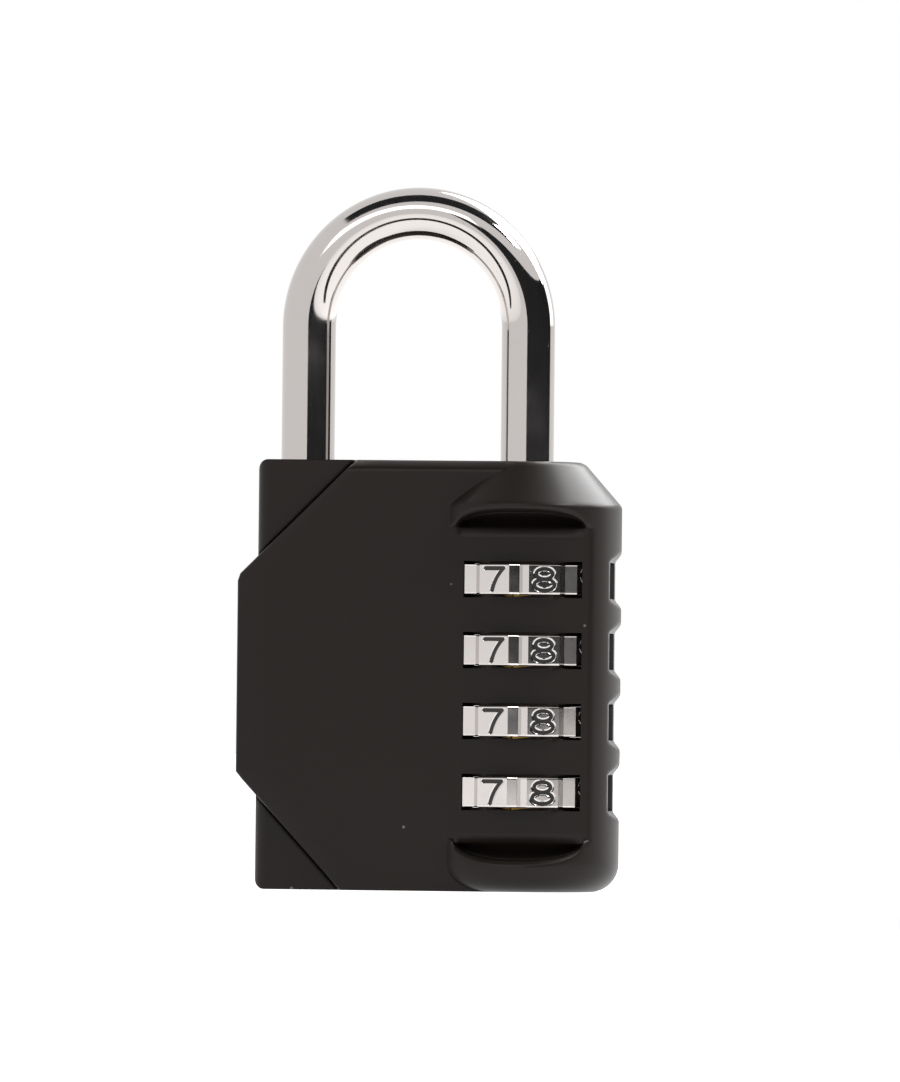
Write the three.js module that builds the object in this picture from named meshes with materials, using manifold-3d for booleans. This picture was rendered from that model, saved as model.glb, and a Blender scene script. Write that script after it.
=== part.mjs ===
// A four-dial combination padlock, in millimetres. X runs to the right, Y to the back and Z up.
// The origin is at the middle of the base. Each shell half is a casting that wraps a C-shaped core.
import * as THREE from "three";
import { mergeVertices } from "three/addons/utils/BufferGeometryUtils.js";
import Module from "manifold-3d";

const wasm = await Module();
wasm.setup();

// Body
const BODY_WIDTH = 44.0;
const PLATE_HALF = 7.4; // from the middle plane to the flat faces
const NOSE_RADIUS = 11.1; // of the round edge that holds the dials
const CORNER_CUT_TOP = 13.56; // plate corners cut off to show the core
const CORNER_CUT_BOTTOM = 12.2;
const CORNER_CUT_HEIGHT = 13.5;
const PLATE_BEVEL = 1.0; // along the plate's top edge
const TOP_BEVEL = 0.3; // round the hood's top edge
const SEAM = 0.3; // gap between the two shells
const FIT = 0.3; // gap between pieces that touch

// Hood above the dials and toe below them
const HOOD_CHAMFER = 4.0;
const HOOD_CHAMFER_HEIGHT = 4.6;
const HOOD_HEIGHT = 5.1; // from the top down to the hood's rim
const TOE_RIM = 3.7;
const TOE_FILLET = 3.3;
const CHANNEL_HEIGHT = 2.2; // of the channel between a rim and the panel
const CHANNEL_DEPTH = 1.1;

// Core block
const CORE_HALF = 5.0;
const CORNER_PAD = 1.3; // how far the exposed corners stand off the core
const CORE_INSET = 2.15; // core's left face behind the shell's left face
const CORE_ROUND = 1.2;
const CORE_EDGE = 1.7; // radius of the core's upright left edges
const EDGE_LAP = 0.06; // how far the edge cutters start outside the core's faces
const CORE_GAP = 1.1; // between the core's column and the dials
const BORE_WALL = 0.84; // left between the short leg's bore and the arms' cut corners
const ROOF = 1.0; // over the yoke's room
const FOOT_ARM_TOP = 5.5;

// Dials
const DIAL_COUNT = 4;
const DIAL_PITCH = 8.2;
const FIN_FLOOR = 0.6; // between the lower arm and the lowest fin
const DIAL_FACES = 10;
const DIAL_SINK = 1.7; // its flat faces behind the nose
const DIAL_FACE = 3.69; // width of one flat face
const DIAL_VEE_DEPTH = 0.65; // of the notches between faces
const DIAL_HEIGHT = 3.7;
const DIAL_ROOM = 0.32; // radial room outside the dial's widest corner
const WINDOW_GAP = 0.25; // above and below a dial
const WINDOW_HALF_WIDTH = 6.75;
const WINDOW_SHIFT = 0.4;
const SIDE_WINDOW_HALF = 3.4;
const SCALLOP_RIB = 1.3; // left standing between two scallops
const SCALLOP_DEPTH = 1.05;

// Sleeves, washers and spindle
const SLEEVE_RADIUS = 4.8;
const SLEEVE_BORE = 2.3;
const SLEEVE_HEIGHT = 4.2;
const SPLINE_COUNT = 10;
const SPLINE_RISE = 0.5;
const SPLINE_WIDTH = 1.0;
const WASHER_RADIUS = 6.7;
const WASHER_THICKNESS = 0.5;
const FIN_RADIUS = 3.6;
const FIN_WIDTH = 1.4;
const FIN_GAP = 0.7; // above and below a fin, between two sleeves
const SPINDLE_RADIUS = 1.9;
const SPINDLE_NECK = 1.0;
const SPINDLE_FOOT = 1.2; // height of its lower end

// Shackle, yoke and spring
const BAR_RADIUS = 3.1;
const HEEL_INSET = 7.3; // long leg's middle from the body's left side
const SHACKLE_RISE = 31.9; // from the body's top to the crown's top
const CROWN_RISE = 13.2;
const HEEL_TAIL = 24.9; // of the long leg below the yoke
const TOE_DEPTH = 6.5;
const WELL_FLOOR = 3.0;
const GROOVE_RADIUS = 1.9;
const YOKE_THICKNESS = 1.4;
const YOKE_SEAT = 0.1; // yoke's underside above the upper arm's
const YOKE_HALF_WIDTH = 3.2;
const YOKE_FORK = 0.6; // how far the fork reaches past the leg's neck
const NUT_RADIUS = 2.2;
const NUT_HEIGHT = 0.9;
const SPRING_RADIUS = 2.2; // to the middle of the wire
const SPRING_WIRE = 0.4;
const SPRING_TURNS = 7;

// Detent leaf and pins
const LEAF_THICKNESS = 0.4;
const LEAF_HALF_WIDTH = 2.5;
const LEAF_RECESS = 1.8;
const LEAF_END = 1.5; // how far it runs past the outer dials' faces
const BUMP_HALF = 0.9;
const BUMP_TIP = 0.3;
const RIVET_RADIUS = 0.9;
const RIVET_HEAD = 1.6;
const RIVET_HEAD_HEIGHT = 0.5;
const RIVET_LENGTH = 3.2;
const PIN_RADIUS = 1.1;
const PIN_GRIP = 0.9; // depth of each pin in its shell

// How many flats or steps stand in for each curve
const DRUM_FACETS = 48;
const ROUND_FACETS = 32;
const SLOT_FACETS = 24;
const BORE_FACETS = 20;
const ROD_FACETS = 16;
const PIN_FACETS = 12;
const WIRE_FACETS = 6;
const NUT_FACETS = 6;
const BEND_STEPS = 52;
const TURN_STEPS = 10; // along each turn of the spring
const CORNER_STEPS = 5;
const FILLET_STEPS = 4;
const EDGE_STEPS = 6;
const WELD = 1e-4; // corners nearer than this are one

// Sizes that follow from the ones above
const LEFT = -BODY_WIDTH / 2;
const RIGHT = BODY_WIDTH / 2;
const DIAL_X = RIGHT - NOSE_RADIUS;
const HEEL_X = LEFT + HEEL_INSET;
const TOE_X = DIAL_X; // the short leg stands over the spindle
const PANEL_HALF_WIDTH = Math.sqrt(NOSE_RADIUS ** 2 - PLATE_HALF ** 2); // where the flat meets the nose
const CORE_LEFT = LEFT + CORE_INSET;
const CAVITY_HALF = CORE_HALF + FIT;
const DIAL_APOTHEM = NOSE_RADIUS - DIAL_SINK;
const DIAL_REACH = Math.hypot(DIAL_APOTHEM, DIAL_FACE / 2);
const DIAL_ROOM_RADIUS = DIAL_REACH + DIAL_ROOM;
const CORE_COLUMN_RIGHT = DIAL_X - DIAL_REACH - CORE_GAP;
const WINDOW_HEIGHT = DIAL_HEIGHT + 2 * WINDOW_GAP;
const SCALLOP_HEIGHT = DIAL_PITCH - SCALLOP_RIB;
const FIN_HEIGHT = DIAL_PITCH - SLEEVE_HEIGHT - 2 * FIN_GAP;
const LOWEST_DIAL = FOOT_ARM_TOP + FIN_FLOOR + (FIN_HEIGHT + DIAL_PITCH) / 2;
const DIAL_Z = Array.from({ length: DIAL_COUNT }, (_, i) => LOWEST_DIAL + (DIAL_COUNT - 1 - i) * DIAL_PITCH);
const POCKET_TOP = SLEEVE_HEIGHT / 2 + FIT;
const POCKET_BOTTOM = DIAL_HEIGHT / 2 + WASHER_THICKNESS + 2 * FIT;
const HEAD_ARM_BOTTOM = DIAL_Z[0] + POCKET_TOP + FIT;
const YOKE_BOTTOM = HEAD_ARM_BOTTOM + YOKE_SEAT;
const YOKE_TOP = YOKE_BOTTOM + YOKE_THICKNESS;
const YOKE_ROOM_TOP = YOKE_TOP + DIAL_PITCH + FIT; // the yoke stops here when the lock is open
const YOKE_ROOM_HALF = YOKE_HALF_WIDTH + FIT;
const BODY_HEIGHT = YOKE_ROOM_TOP + ROOF;
const HOOD_RIM = BODY_HEIGHT - HOOD_HEIGHT;
const HEEL_END = YOKE_BOTTOM - HEEL_TAIL;
const BORE_RADIUS = BAR_RADIUS + FIT;
const TOE_END = BODY_HEIGHT - TOE_DEPTH;
const CROWN_SPRING = BODY_HEIGHT + SHACKLE_RISE - BAR_RADIUS - CROWN_RISE; // where the crown's bend starts
const ARM_CORNER = 2 * CORE_HALF - Math.SQRT2 * (BORE_RADIUS + BORE_WALL);
const FACING = 1; // cutting solids run this far past what they cut

const BLACK = { color: 0x2c2a29, roughness: 0.42, metalness: 0.35 };
const CHROME = { color: 0xd8d8d8, roughness: 0.08, metalness: 1 };
const BRASS = { color: 0xb08a45, roughness: 0.3, metalness: 1 };
const STEEL = { color: 0x9a9a98, roughness: 0.35, metalness: 1 };

// --- Solids -----------------------------------------------------------------------------------

// A closed geometry as a solid, moved to its place.
function solid(geometry, x = 0, y = 0, z = 0) {
  const bare = geometry.clone().translate(x, y, z);
  bare.deleteAttribute("normal");
  bare.deleteAttribute("uv");
  const merged = mergeVertices(bare, WELD);
  const triVerts = new Uint32Array(merged.index.array);
  const vertProperties = merged.attributes.position.array;
  return new wasm.Manifold(new wasm.Mesh({ numProp: 3, vertProperties, triVerts }));
}

// A solid as a named mesh with its own material.
function piece(name, shape, finish) {
  const { numProp, numVert, vertProperties, triVerts } = shape.getMesh();
  const corners = new Float32Array(numVert * 3);
  for (let i = 0; i < numVert; i++) {
    corners.set(vertProperties.subarray(i * numProp, i * numProp + 3), i * 3);
  }
  const geometry = new THREE.BufferGeometry();
  geometry.setAttribute("position", new THREE.BufferAttribute(corners, 3));
  geometry.setIndex(new THREE.BufferAttribute(triVerts, 1));
  geometry.computeVertexNormals();
  const mesh = new THREE.Mesh(geometry, new THREE.MeshStandardMaterial(finish));
  mesh.name = name;
  return mesh;
}

// All of a list's solids cut from one.
function without(shape, cuts) {
  return cuts.reduce((left, cut) => left.subtract(cut), shape);
}

// All of a list's solids joined.
function joined(shapes) {
  return shapes.reduce((all, shape) => all.add(shape));
}

// A box between two corners.
function box(x0, x1, y0, y1, z0, z1) {
  const geometry = new THREE.BoxGeometry(x1 - x0, y1 - y0, z1 - z0);
  return solid(geometry, (x0 + x1) / 2, (y0 + y1) / 2, (z0 + z1) / 2);
}

// An upright round bar, with its axis at x on the middle plane.
function upright(x, radius, z0, z1, sides = ROUND_FACETS) {
  const geometry = new THREE.CylinderGeometry(radius, radius, z1 - z0, sides).rotateX(Math.PI / 2);
  return solid(geometry, x, 0, (z0 + z1) / 2);
}

// A round bar across the body, at [x, z].
function crosswise([x, z], radius, half) {
  return solid(new THREE.CylinderGeometry(radius, radius, 2 * half, PIN_FACETS), x, 0, z);
}

// A round bar along X from x0 to x1, on the middle plane.
function lengthwise(z, radius, x0, x1) {
  const geometry = new THREE.CylinderGeometry(radius, radius, x1 - x0, PIN_FACETS).rotateZ(Math.PI / 2);
  return solid(geometry, (x0 + x1) / 2, 0, z);
}

// An outline of [x, y] points as a flat shape.
function flat(outline) {
  return new THREE.Shape(outline.map(([x, y]) => new THREE.Vector2(x, y)));
}

// An outline of [x, y] points about the dials' axis, pushed up from z0 to z1.
function raised(outline, z0, z1) {
  const geometry = new THREE.ExtrudeGeometry(flat(outline), { depth: z1 - z0, bevelEnabled: false });
  return solid(geometry, DIAL_X, 0, z0);
}

// An outline of [x, z] points, or a ready shape in that plane, pushed back from y0 to y1.
function pushed(outline, y0, y1) {
  const shape = outline instanceof THREE.Shape ? outline : flat(outline);
  const options = { depth: y1 - y0, bevelEnabled: false, curveSegments: CORNER_STEPS };
  const geometry = new THREE.ExtrudeGeometry(shape, options);
  return solid(geometry.rotateX(Math.PI / 2), 0, y1, 0);
}

// --- Shells -----------------------------------------------------------------------------------

// The plate's outline with its left corners cut off. grow moves the cut edges outwards, and past
// carries the outline beyond the body's top and bottom.
function plateOutline(right, grow = 0, past = 0) {
  const lowRise = CORNER_CUT_HEIGHT - grow;
  const lowRun = CORNER_CUT_BOTTOM - grow;
  const high = CORNER_CUT_TOP - grow;
  return [
    [LEFT, lowRise],
    [LEFT + lowRun * (1 + past / lowRise), -past],
    [right, -past],
    [right, BODY_HEIGHT + past],
    [LEFT + high + past, BODY_HEIGHT + past],
    [LEFT, BODY_HEIGHT - high],
  ];
}

// The nose: an upright drum with a filleted foot and a chamfered hood.
function noseDrum() {
  const profile = [new THREE.Vector2(0, 0)];
  const steps = FILLET_STEPS;
  for (let i = 0; i <= steps; i++) {
    const turn = (i / steps) * (Math.PI / 2);
    const inwards = TOE_FILLET * (1 - Math.sin(turn));
    profile.push(new THREE.Vector2(NOSE_RADIUS - inwards, TOE_FILLET * (1 - Math.cos(turn))));
  }
  profile.push(new THREE.Vector2(NOSE_RADIUS, BODY_HEIGHT - HOOD_CHAMFER_HEIGHT - TOP_BEVEL));
  profile.push(new THREE.Vector2(NOSE_RADIUS - HOOD_CHAMFER, BODY_HEIGHT - TOP_BEVEL));
  profile.push(new THREE.Vector2(NOSE_RADIUS - HOOD_CHAMFER - TOP_BEVEL, BODY_HEIGHT));
  profile.push(new THREE.Vector2(0, BODY_HEIGHT));
  return solid(new THREE.LatheGeometry(profile, DRUM_FACETS).rotateX(Math.PI / 2), DIAL_X);
}

// The bevel along the plate's top edge.
function topBevel() {
  const across = PLATE_BEVEL * Math.SQRT2;
  const bar = new THREE.BoxGeometry(BODY_WIDTH + 2 * FACING, across, across).rotateX(Math.PI / 4);
  return solid(bar, 0, -PLATE_HALF, BODY_HEIGHT);
}

// What the front panel, its end channels, the windows and the thumb scallops take off the nose.
function noseCuts() {
  const front = -NOSE_RADIUS - FACING;
  const panelLeft = DIAL_X - PANEL_HALF_WIDTH;
  const panelRight = DIAL_X + PANEL_HALF_WIDTH;
  const channel = CHANNEL_DEPTH - PLATE_HALF;
  const cuts = [
    box(panelLeft, panelRight, front, -PLATE_HALF, TOE_RIM, HOOD_RIM),
    box(panelLeft, panelRight, front, channel, HOOD_RIM - CHANNEL_HEIGHT, HOOD_RIM),
    box(panelLeft, panelRight, front, channel, TOE_RIM, TOE_RIM + CHANNEL_HEIGHT),
  ];
  const middle = DIAL_X + WINDOW_SHIFT;
  const side = DIAL_X + SLEEVE_RADIUS;
  const scallop = RIGHT - SCALLOP_DEPTH;
  const flare = ((SCALLOP_HEIGHT - WINDOW_HEIGHT) / 2) * (1 + FACING / SCALLOP_DEPTH);
  for (const z of DIAL_Z) {
    const z0 = z - WINDOW_HEIGHT / 2;
    const z1 = z + WINDOW_HEIGHT / 2;
    cuts.push(box(middle - WINDOW_HALF_WIDTH, middle + WINDOW_HALF_WIDTH, front, -SLEEVE_RADIUS, z0, z1));
    cuts.push(box(side, RIGHT + FACING, -SIDE_WINDOW_HALF, 0, z0, z1));
    const flared = [[scallop, z0], [RIGHT + FACING, z0 - flare], [RIGHT + FACING, z1 + flare], [scallop, z1]];
    cuts.push(pushed(flared, front, 0));
  }
  return cuts;
}

// The room for one arm of the core: straight, with cut corners at its free end.
function armRoom(z0, z1) {
  const end = TOE_X + CORE_HALF + FIT;
  const corner = armCorner(end, -CAVITY_HALF, ARM_CORNER + (2 - Math.SQRT2) * FIT);
  return box(CORE_COLUMN_RIGHT, end, -CAVITY_HALF, FACING, z0, z1).subtract(corner);
}

// The room inside the shells for the core, the dials, the sleeves and the pins.
function insideRoom() {
  const rooms = [
    box(CORE_LEFT - FIT, CORE_COLUMN_RIGHT + FIT, -CAVITY_HALF, 0, -FACING, BODY_HEIGHT + FACING),
    armRoom(HEAD_ARM_BOTTOM - FIT, BODY_HEIGHT + FACING),
    armRoom(-FACING, FOOT_ARM_TOP + FIT),
    upright(DIAL_X, FIN_RADIUS + FIT, FOOT_ARM_TOP, HEAD_ARM_BOTTOM),
  ];
  for (const z of DIAL_Z) {
    const z0 = z - WINDOW_HEIGHT / 2;
    const z1 = z + WINDOW_HEIGHT / 2;
    rooms.push(upright(DIAL_X, DIAL_ROOM_RADIUS, z0, z1, DRUM_FACETS));
    rooms.push(box(CORE_COLUMN_RIGHT, DIAL_X, -CAVITY_HALF, 0, z0, z1));
    rooms.push(upright(DIAL_X, WASHER_RADIUS + FIT, z - POCKET_BOTTOM, z + POCKET_TOP));
  }
  for (const place of pinPlaces()) rooms.push(crosswise(place, PIN_RADIUS + FIT, CAVITY_HALF + PIN_GRIP));
  return rooms;
}

// The front casting. It ends half a seam in front of the middle plane.
function frontShell() {
  const cast = pushed(plateOutline(DIAL_X), -PLATE_HALF, 0).subtract(topBevel()).add(noseDrum());
  const top = BODY_HEIGHT + FACING;
  const back = box(LEFT - FACING, RIGHT + FACING, -SEAM / 2, NOSE_RADIUS + FACING, -FACING, top);
  return without(cast, [back, ...noseCuts(), ...insideRoom()]);
}

// --- Core and pins ----------------------------------------------------------------------------

// The core seen from the front: a C open to the right, with round left corners.
function coreOutline() {
  const end = TOE_X + CORE_HALF;
  const shape = new THREE.Shape();
  shape.moveTo(CORE_LEFT + CORE_ROUND, 0);
  shape.lineTo(end, 0);
  shape.lineTo(end, FOOT_ARM_TOP);
  shape.lineTo(CORE_COLUMN_RIGHT, FOOT_ARM_TOP);
  shape.lineTo(CORE_COLUMN_RIGHT, HEAD_ARM_BOTTOM);
  shape.lineTo(end, HEAD_ARM_BOTTOM);
  shape.lineTo(end, BODY_HEIGHT);
  shape.lineTo(CORE_LEFT + CORE_ROUND, BODY_HEIGHT);
  shape.absarc(CORE_LEFT + CORE_ROUND, BODY_HEIGHT - CORE_ROUND, CORE_ROUND, Math.PI / 2, Math.PI, false);
  shape.absarc(CORE_LEFT + CORE_ROUND, CORE_ROUND, CORE_ROUND, Math.PI, 1.5 * Math.PI, false);
  return shape;
}

// An upright bar turned an eighth, that cuts off the corner at x and y by the given length.
function armCorner(x, y, cut) {
  const across = cut * Math.SQRT2;
  const bar = new THREE.BoxGeometry(across, across, BODY_HEIGHT + 4 * FACING).rotateZ(Math.PI / 4);
  return solid(bar, x, y, BODY_HEIGHT / 2);
}

// What rounds the core's front upright edge on the left: all that is outside a quarter circle.
function edgeCutter(padHalf) {
  const x = CORE_LEFT + CORE_EDGE - EDGE_LAP;
  const y = CORE_EDGE - EDGE_LAP - padHalf;
  const steps = EDGE_STEPS;
  const outline = [[CORE_LEFT - FACING, y], [CORE_LEFT - FACING, -padHalf - FACING], [x, -padHalf - FACING]];
  for (let i = 0; i <= steps; i++) {
    const turn = Math.PI * (1.5 - (0.5 * i) / steps);
    outline.push([x + CORE_EDGE * Math.cos(turn), y + CORE_EDGE * Math.sin(turn)]);
  }
  const options = { depth: BODY_HEIGHT + 2 * FACING, bevelEnabled: false };
  return solid(new THREE.ExtrudeGeometry(flat(outline), options), 0, 0, -FACING);
}

// A column on the left, with the long leg's bore, and an arm above and below the dials.
function coreBlock() {
  const padHalf = CORE_HALF + CORNER_PAD;
  const plate = plateOutline(RIGHT, FIT, FACING);
  const right = TOE_X + CORE_HALF + FACING;
  const recess = LEAF_HALF_WIDTH + FIT;
  const leafBack = leafFront() - LEAF_THICKNESS;
  const [leafLow, leafHigh] = leafEnds();
  const rivetEnd = leafBack - RIVET_LENGTH - FIT;
  const cuts = [
    pushed(plate, -padHalf - FACING, -CORE_HALF),
    pushed(plate, CORE_HALF, padHalf + FACING),
    armCorner(TOE_X + CORE_HALF, -CORE_HALF, ARM_CORNER),
    armCorner(TOE_X + CORE_HALF, CORE_HALF, ARM_CORNER),
    edgeCutter(padHalf),
    edgeCutter(padHalf).mirror([0, 1, 0]),
    upright(HEEL_X, BORE_RADIUS, WELL_FLOOR, BODY_HEIGHT + FACING),
    upright(TOE_X, BORE_RADIUS, HEAD_ARM_BOTTOM - FACING, BODY_HEIGHT + FACING),
    box(HEEL_X - BORE_RADIUS - FIT, right, -YOKE_ROOM_HALF, YOKE_ROOM_HALF, YOKE_BOTTOM - FIT, YOKE_ROOM_TOP),
    upright(DIAL_X, SPINDLE_RADIUS + FIT, SPINDLE_FOOT - FIT, FOOT_ARM_TOP + FACING, BORE_FACETS),
    box(leafBack - FIT, CORE_COLUMN_RIGHT + FACING, -recess, recess, leafLow - FIT, leafHigh + FIT),
    ...rivetHeights().map((z) => lengthwise(z, RIVET_RADIUS + FIT, rivetEnd, CORE_COLUMN_RIGHT)),
    ...pinPlaces().map((place) => crosswise(place, PIN_RADIUS + FIT, CORE_HALF + FACING)),
  ];
  return without(pushed(coreOutline(), -padHalf, padHalf), cuts);
}

// The four cross pins, as [x, z]: three up the column and one in the lower arm.
function pinPlaces() {
  const column = (HEEL_X + BORE_RADIUS + CORE_COLUMN_RIGHT - LEAF_RECESS) / 2;
  const foot = (CORE_COLUMN_RIGHT + DIAL_X - SPINDLE_RADIUS - FIT) / 2;
  const heights = [DIAL_Z[0], DIAL_Z[0] - 1.5 * DIAL_PITCH, DIAL_Z[DIAL_COUNT - 1]];
  return [...heights.map((z) => [column, z]), [foot, FOOT_ARM_TOP / 2]];
}

// --- Dial stack -------------------------------------------------------------------------------

// Flat digit faces with a vee between each two, read at the right when it stands at zero.
function dialOutline() {
  const veeFloor = DIAL_APOTHEM - DIAL_VEE_DEPTH;
  const outline = [];
  for (let face = 0; face < DIAL_FACES; face++) {
    const turn = (face / DIAL_FACES) * 2 * Math.PI;
    for (const side of [-1, 1]) {
      const half = Math.atan2((side * DIAL_FACE) / 2, DIAL_APOTHEM);
      outline.push([DIAL_REACH * Math.cos(turn + half), DIAL_REACH * Math.sin(turn + half)]);
    }
    const vee = turn + Math.PI / DIAL_FACES;
    outline.push([veeFloor * Math.cos(vee), veeFloor * Math.sin(vee)]);
  }
  return outline;
}

// The splined joint between a dial and its sleeve; grow gives the dial's side of it.
function splineOutline(grow = 0) {
  const outline = [];
  for (let tooth = 0; tooth < SPLINE_COUNT; tooth++) {
    const turn = (tooth / SPLINE_COUNT) * 2 * Math.PI;
    const radii = [SLEEVE_RADIUS, SLEEVE_RADIUS + SPLINE_RISE, SLEEVE_RADIUS + SPLINE_RISE, SLEEVE_RADIUS];
    radii.forEach((radius, i) => {
      const half = ((i < 2 ? -1 : 1) * (SPLINE_WIDTH / 2 + grow)) / radius;
      outline.push([(radius + grow) * Math.cos(turn + half), (radius + grow) * Math.sin(turn + half)]);
    });
  }
  return outline;
}

function dialRing(z) {
  const half = DIAL_HEIGHT / 2;
  return raised(dialOutline(), z - half, z + half)
    .subtract(raised(splineOutline(FIT), z - half - FACING, z + half + FACING));
}

function codeSleeve(z) {
  const half = SLEEVE_HEIGHT / 2;
  const slot = FIN_WIDTH / 2 + FIT;
  return without(raised(splineOutline(), z - half, z + half), [
    upright(DIAL_X, SLEEVE_BORE, z - half - FACING, z + half + FACING, BORE_FACETS),
    box(DIAL_X, DIAL_X + FIN_RADIUS + FIT, -slot, slot, z - half - FACING, z + half + FACING),
  ]);
}

function dialWasher(z) {
  const top = z - DIAL_HEIGHT / 2 - FIT;
  const bore = SLEEVE_RADIUS + SPLINE_RISE + FIT;
  return upright(DIAL_X, WASHER_RADIUS, top - WASHER_THICKNESS, top)
    .subtract(upright(DIAL_X, bore, top - WASHER_THICKNESS - FACING, top + FACING));
}

// --- Shackle, yoke and spindle ----------------------------------------------------------------

// The bent bar's middle line: up the long leg, over the crown and down the short leg.
class Crown extends THREE.Curve {
  getPoint(t) {
    const turn = Math.PI * (1 - t);
    const x = (HEEL_X + TOE_X) / 2 + ((TOE_X - HEEL_X) / 2) * Math.cos(turn);
    return new THREE.Vector3(x, 0, CROWN_SPRING + CROWN_RISE * Math.sin(turn));
  }
}

function roundBar(path, radius, sides, steps) {
  const section = new THREE.Shape();
  for (let i = 0; i < sides; i++) {
    const turn = (i / sides) * 2 * Math.PI;
    const place = [radius * Math.cos(turn), radius * Math.sin(turn)];
    if (i === 0) section.moveTo(...place);
    else section.lineTo(...place);
  }
  return solid(new THREE.ExtrudeGeometry(section, { extrudePath: path, steps, bevelEnabled: false }));
}

function shackle() {
  const line = new THREE.CurvePath();
  line.add(new THREE.LineCurve3(
    new THREE.Vector3(HEEL_X, 0, HEEL_END),
    new THREE.Vector3(HEEL_X, 0, CROWN_SPRING),
  ));
  line.add(new Crown());
  line.add(new THREE.LineCurve3(
    new THREE.Vector3(TOE_X, 0, CROWN_SPRING),
    new THREE.Vector3(TOE_X, 0, TOE_END),
  ));
  const z0 = YOKE_BOTTOM - FIT;
  const z1 = YOKE_TOP + FIT;
  const groove = upright(HEEL_X, BAR_RADIUS + FACING, z0, z1)
    .subtract(upright(HEEL_X, GROOVE_RADIUS, z0 - FACING, z1 + FACING, ROD_FACETS));
  return roundBar(line, BAR_RADIUS, ROD_FACETS, BEND_STEPS).subtract(groove);
}

// A flat plate, forked round the long leg's groove and holed for the spindle's neck.
function liftYoke() {
  const left = HEEL_X - GROOVE_RADIUS - YOKE_FORK;
  const slot = GROOVE_RADIUS + FIT;
  const z0 = YOKE_BOTTOM - FACING;
  const z1 = YOKE_TOP + FACING;
  const right = DIAL_X + NUT_RADIUS + FIT;
  return without(box(left, right, -YOKE_HALF_WIDTH, YOKE_HALF_WIDTH, YOKE_BOTTOM, YOKE_TOP), [
    box(left - FACING, HEEL_X, -slot, slot, z0, z1),
    upright(HEEL_X, slot, z0, z1, SLOT_FACETS),
    upright(DIAL_X, SPINDLE_NECK + FIT, z0, z1, ROD_FACETS),
  ]);
}

// A round spindle with one fin in the gap below each sleeve, so that every dial turns freely.
function codeSpindle() {
  const neckTop = YOKE_TOP + FIT + NUT_HEIGHT;
  const fins = DIAL_Z.map((z) => {
    const middle = z - DIAL_PITCH / 2;
    const half = FIN_WIDTH / 2;
    return box(DIAL_X, DIAL_X + FIN_RADIUS, -half, half, middle - FIN_HEIGHT / 2, middle + FIN_HEIGHT / 2);
  });
  return joined([
    upright(DIAL_X, SPINDLE_RADIUS, SPINDLE_FOOT, YOKE_BOTTOM - FIT, ROD_FACETS),
    upright(DIAL_X, SPINDLE_NECK, YOKE_BOTTOM - FIT - FACING, neckTop, ROD_FACETS),
    ...fins,
  ]);
}

function spindleNut() {
  const z0 = YOKE_TOP + FIT;
  const z1 = z0 + NUT_HEIGHT;
  return upright(DIAL_X, NUT_RADIUS, z0, z1, NUT_FACETS)
    .subtract(upright(DIAL_X, SPINDLE_NECK + FIT, z0 - FACING, z1 + FACING, ROD_FACETS));
}

// The spring's middle line, from the well's floor to the long leg's end.
class Coil extends THREE.Curve {
  getPoint(t) {
    const turn = t * SPRING_TURNS * 2 * Math.PI;
    const low = WELL_FLOOR + FIT + SPRING_WIRE;
    const high = HEEL_END - FIT - SPRING_WIRE;
    return new THREE.Vector3(
      HEEL_X + SPRING_RADIUS * Math.cos(turn),
      SPRING_RADIUS * Math.sin(turn),
      low + (high - low) * t,
    );
  }
}

// --- Detent -----------------------------------------------------------------------------------

function leafFront() {
  return CORE_COLUMN_RIGHT - LEAF_RECESS + FIT + LEAF_THICKNESS;
}

function leafEnds() {
  const past = BUMP_HALF + LEAF_END;
  return [DIAL_Z[DIAL_COUNT - 1] - past, DIAL_Z[0] + past];
}

// A flat strip with one blunt bump beside the middle of each dial.
function detentLeaf() {
  const front = leafFront();
  const back = front - LEAF_THICKNESS;
  const tip = DIAL_X - DIAL_REACH - FIT;
  const [low, high] = leafEnds();
  const outline = [[back, low], [front, low]];
  for (const z of [...DIAL_Z].reverse()) {
    outline.push([front, z - BUMP_HALF], [tip, z - BUMP_TIP], [tip, z + BUMP_TIP], [front, z + BUMP_HALF]);
  }
  outline.push([front, high], [back, high]);
  const holes = rivetHeights().map((z) => lengthwise(z, RIVET_RADIUS + FIT, back - FACING, front + FACING));
  return without(pushed(outline, -LEAF_HALF_WIDTH, LEAF_HALF_WIDTH), holes);
}

// Between the two highest and between the two lowest dials.
function rivetHeights() {
  return [DIAL_Z[0] - DIAL_PITCH / 2, DIAL_Z[DIAL_COUNT - 1] + DIAL_PITCH / 2];
}

function detentRivet(z) {
  const seat = leafFront() + FIT;
  const tip = leafFront() - LEAF_THICKNESS - RIVET_LENGTH;
  return lengthwise(z, RIVET_RADIUS, tip, seat + RIVET_HEAD_HEIGHT / 2)
    .add(lengthwise(z, RIVET_HEAD, seat, seat + RIVET_HEAD_HEIGHT));
}

// --- Assembly ---------------------------------------------------------------------------------

const group = new THREE.Group();

const shell = frontShell();
const back = piece("rear_shell", shell.mirror([0, 1, 0]), BLACK);
group.add(piece("front_shell", shell, BLACK), back);
group.add(piece("core_block", coreBlock(), BLACK));
pinPlaces().forEach((place, i) => {
  const pin = crosswise(place, PIN_RADIUS, CAVITY_HALF + PIN_GRIP - FIT);
  group.add(piece(`assembly_pin_${i + 1}`, pin, STEEL));
});

DIAL_Z.forEach((z, i) => {
  group.add(piece(`dial_ring_${i + 1}`, dialRing(z), CHROME));
  group.add(piece(`code_sleeve_${i + 1}`, codeSleeve(z), BRASS));
  group.add(piece(`dial_washer_${i + 1}`, dialWasher(z), BRASS));
});

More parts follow.
